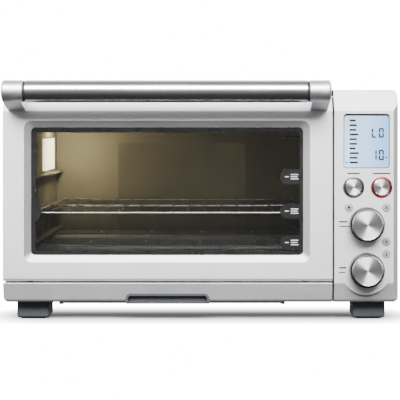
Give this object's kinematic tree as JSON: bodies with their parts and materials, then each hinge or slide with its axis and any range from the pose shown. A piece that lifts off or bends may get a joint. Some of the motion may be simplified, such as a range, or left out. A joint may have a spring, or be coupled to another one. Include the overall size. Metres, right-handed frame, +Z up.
{
  "type": "toaster oven",
  "caption": "Counter-top convection toaster oven with drop-down glass door, bar handle, control column with dials, wire rack and crumb tray.",
  "frame": {"origin": "centre of the overall box, on the surface it stands on", "axes": "+X to the viewer's right along the width, front face and door toward -Y, +Z up"},
  "size_m": [0.474, 0.4, 0.2859],
  "materials": {
    "front_steel": "brushed",
    "casing_steel": "brushed",
    "sheet_steel": "satin",
    "back_steel": "matte",
    "cavity_coat": "satin",
    "handle_satin": "satin",
    "dial_metal": "satin",
    "dark_plastic": "matte",
    "icon_grey": "satin",
    "ring_metal": "polished",
    "rack_chrome": "polished",
    "bright_metal": "polished",
    "motor_steel": "satin",
    "window_glass": "polished",
    "lamp_glass": "polished",
    "quartz": "satin",
    "white_ceramic": "satin",
    "gland_rubber": "matte",
    "board_green": "satin",
    "display_face": "polished"
  },
  "bodies": {
    "oven": {"outer_casing": "casing_steel", "rear_panel": "back_steel", "base_plate": "sheet_steel", "front_frame": "sheet_steel", "lower_trim": "front_steel", "control_panel": "front_steel", "heat_partition": "sheet_steel", "front_feet": "dark_plastic", "rear_feet": "dark_plastic", "rear_spacers": "dark_plastic", "casing_screws": "bright_metal", "rear_screws": "bright_metal", "cord_gland": "gland_rubber", "oven_cavity": "cavity_coat", "cavity_back": "cavity_coat", "rack_rails": "cavity_coat", "upper_heating_tubes": "quartz", "lower_heating_tubes": "quartz", "ceramic_ends": "white_ceramic", "element_guards": "rack_chrome", "lamp_bulb": "lamp_glass", "lamp_holder": "sheet_steel", "lamp_lens": "lamp_glass", "fan_motor": "motor_steel", "fan_cover": "cavity_coat", "temperature_probe": "bright_metal", "thermal_fuse": "white_ceramic", "control_board": "board_green", "power_board": "board_green", "display_module": "dark_plastic", "display_window": "display_face", "dial_encoders": "dark_plastic", "button_rings": "ring_metal", "tray_rails": "sheet_steel"},
    "door": {"door_frame": "front_steel", "door_glass": "window_glass", "door_inner_panel": "sheet_steel", "glass_retainers": "motor_steel", "handle_bar": "handle_satin", "handle_collars": "dark_plastic", "left_handle_bracket": "handle_satin", "right_handle_bracket": "handle_satin", "handle_screws": "bright_metal", "hinge_pins": "bright_metal", "hinge_springs": "bright_metal", "door_stay_arms": "sheet_steel", "rack_magnets": "motor_steel"},
    "rack": {"wire_rack": "rack_chrome"},
    "tray": {"crumb_tray": "sheet_steel", "tray_grip": "dark_plastic"},
    "impeller": {"fan_impeller": "bright_metal"},
    "temperature_knob": {"temperature_dial": "dial_metal"},
    "time_knob": {"time_dial": "dial_metal"},
    "function_key": {"function_button": "dial_metal"},
    "start_key": {"start_button": "dial_metal"},
    "lamp_key": {"lamp_button": "icon_grey"},
    "convection_key": {"convection_button": "icon_grey"},
    "frozen_key": {"frozen_button": "icon_grey"},
    "unit_key": {"unit_button": "icon_grey"}
  },
  "joints": [
    {"name": "door_hinge", "type": "hinge", "parent": "oven", "child": "door", "pos_m": [0, -0.144, 0.0532], "axis": [1, 0, 0], "range_deg": [0, 86]},
    {"name": "rack_slide", "type": "slide", "parent": "oven", "child": "rack", "axis": [0, -1, 0], "range_m": [0, 0.1]},
    {"name": "crumb_tray_slide", "type": "slide", "parent": "oven", "child": "tray", "axis": [0, -1, 0], "range_m": [0, 0.19]},
    {"name": "fan_spin", "type": "hinge", "parent": "oven", "child": "impeller", "pos_m": [0.14, 0.0399, 0.15575], "axis": [1, 0, 0], "continuous": true},
    {"name": "temperature_turn", "type": "hinge", "parent": "oven", "child": "temperature_knob", "pos_m": [0.1963, -0.16, 0.1163], "axis": [0, 1, 0], "continuous": true},
    {"name": "time_turn", "type": "hinge", "parent": "oven", "child": "time_knob", "pos_m": [0.1963, -0.16, 0.0623], "axis": [0, 1, 0], "continuous": true},
    {"name": "function_press", "type": "slide", "parent": "oven", "child": "function_key", "axis": [0, 1, 0], "range_m": [0, 0.0015], "stiffness_N_per_m": 600},
    {"name": "start_press", "type": "slide", "parent": "oven", "child": "start_key", "axis": [0, 1, 0], "range_m": [0, 0.0015], "stiffness_N_per_m": 600},
    {"name": "lamp_press", "type": "slide", "parent": "oven", "child": "lamp_key", "axis": [0, 1, 0], "range_m": [0, 0.001], "stiffness_N_per_m": 600},
    {"name": "convection_press", "type": "slide", "parent": "oven", "child": "convection_key", "axis": [0, 1, 0], "range_m": [0, 0.001], "stiffness_N_per_m": 600},
    {"name": "frozen_press", "type": "slide", "parent": "oven", "child": "frozen_key", "axis": [0, 1, 0], "range_m": [0, 0.001], "stiffness_N_per_m": 600},
    {"name": "unit_press", "type": "slide", "parent": "oven", "child": "unit_key", "axis": [0, 1, 0], "range_m": [0, 0.001], "stiffness_N_per_m": 600}
  ],
  "couplings": [
    {"joint": "rack_slide", "follows": "door_hinge", "m_per_rad": 0.065}
  ]
}
